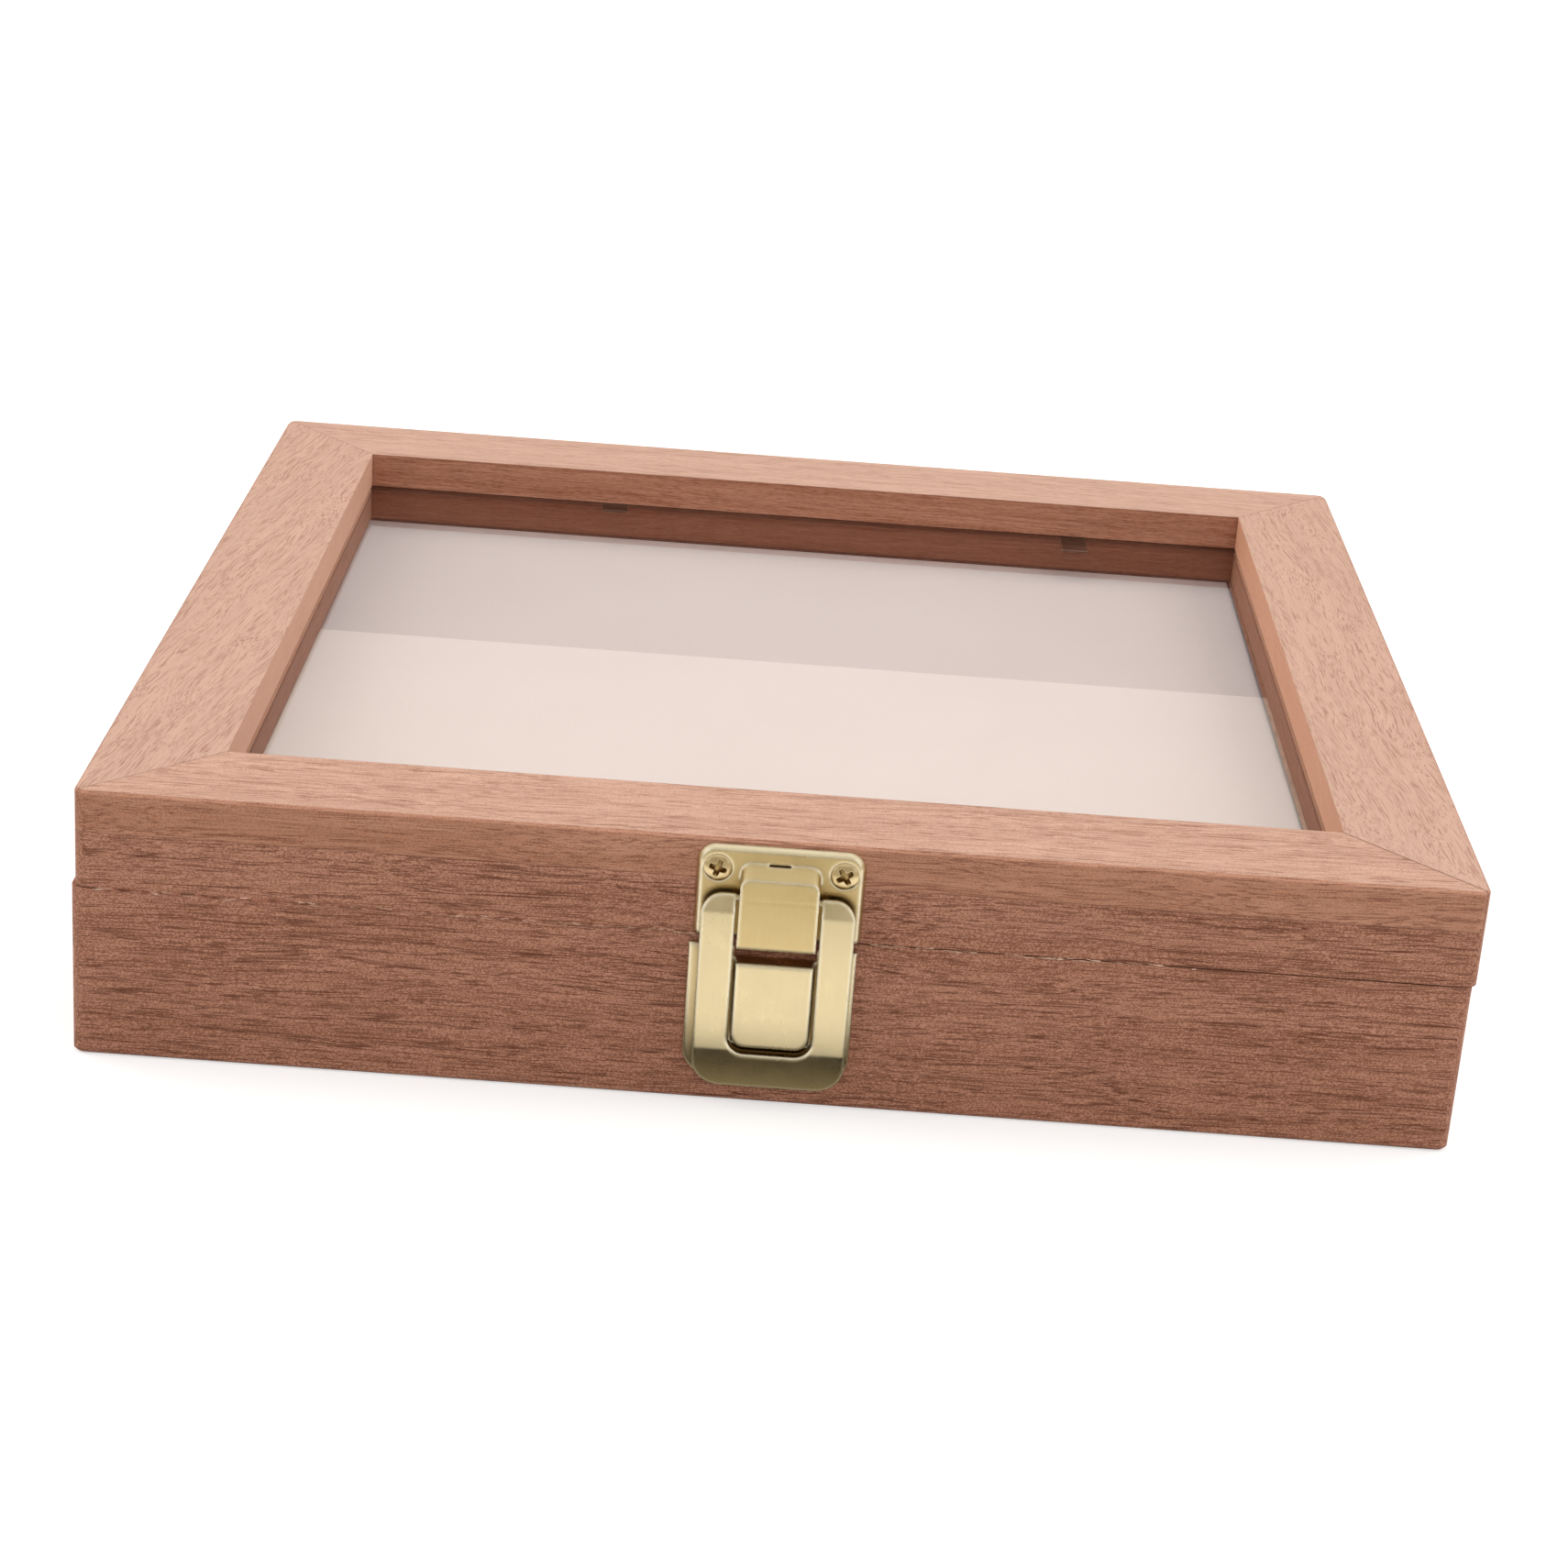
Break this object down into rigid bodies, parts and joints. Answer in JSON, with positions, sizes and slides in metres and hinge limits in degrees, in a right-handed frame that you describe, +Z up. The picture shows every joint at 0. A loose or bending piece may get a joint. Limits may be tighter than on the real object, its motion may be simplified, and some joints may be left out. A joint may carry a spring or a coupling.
{
  "type": "jewelry box",
  "caption": "Low wooden jewelry display box with a mitred case, a foam bed, a hinged glass-topped lid and a brass hasp at the front.",
  "frame": {"origin": "centre of the base's underside", "axes": "+Z up, -Y towards the front that carries the hasp, +X to the right seen from the front"},
  "size_m": [0.2005, 0.1961, 0.0411],
  "materials": {
    "case_wood": "open-pored, unpolished reddish brown hardwood",
    "lid_wood": "fine sanded light reddish hardwood, matt",
    "panel_ply": "thin plywood, matt",
    "liner_foam": "soft cream foam pad with a fine nap",
    "pane_glass": "clear float glass, polished",
    "point_steel": "dark blued steel",
    "hasp_brass": "satin pale brass plate",
    "screw_brass": "brass-plated, slightly brighter in the slots' edges",
    "hinge_brass": "satin pale brass plate"
  },
  "bodies": {
    "base": {"base_front": "case_wood", "base_back": "case_wood", "base_left": "case_wood", "base_right": "case_wood", "bottom_panel": "panel_ply", "foam_liner": "liner_foam", "keeper_plate": "hasp_brass", "keeper_screws": "screw_brass", "hinge_left_base_leaf": "hinge_brass", "hinge_left_pin": "hinge_brass", "hinge_right_base_leaf": "hinge_brass", "hinge_right_pin": "hinge_brass", "hinge_left_base_screws": "screw_brass", "hinge_right_base_screws": "screw_brass"},
    "lid": {"lid_rim_front": "lid_wood", "lid_rim_back": "lid_wood", "lid_rim_left": "lid_wood", "lid_rim_right": "lid_wood", "lid_frame_front": "lid_wood", "lid_frame_back": "lid_wood", "lid_frame_left": "lid_wood", "lid_frame_right": "lid_wood", "glass_pane": "pane_glass", "glass_points": "point_steel", "catch_plate": "hasp_brass", "catch_screws": "screw_brass", "hinge_left_lid_leaf": "hinge_brass", "hinge_right_lid_leaf": "hinge_brass", "hinge_left_lid_screws": "screw_brass", "hinge_right_lid_screws": "screw_brass"},
    "hasp": {"hasp_ring": "hasp_brass"}
  },
  "joints": [
    {"name": "lid_hinge", "type": "hinge", "parent": "base", "child": "lid", "pos_m": [0, 0.0965, 0.0263], "axis": [-1, 0, 0], "range_deg": [0, 180]},
    {"name": "hasp_pivot", "type": "hinge", "parent": "lid", "child": "hasp", "pos_m": [0.0006, -0.09695, 0.03295], "axis": [-1, 0, 0], "range_deg": [0, 160]}
  ]
}
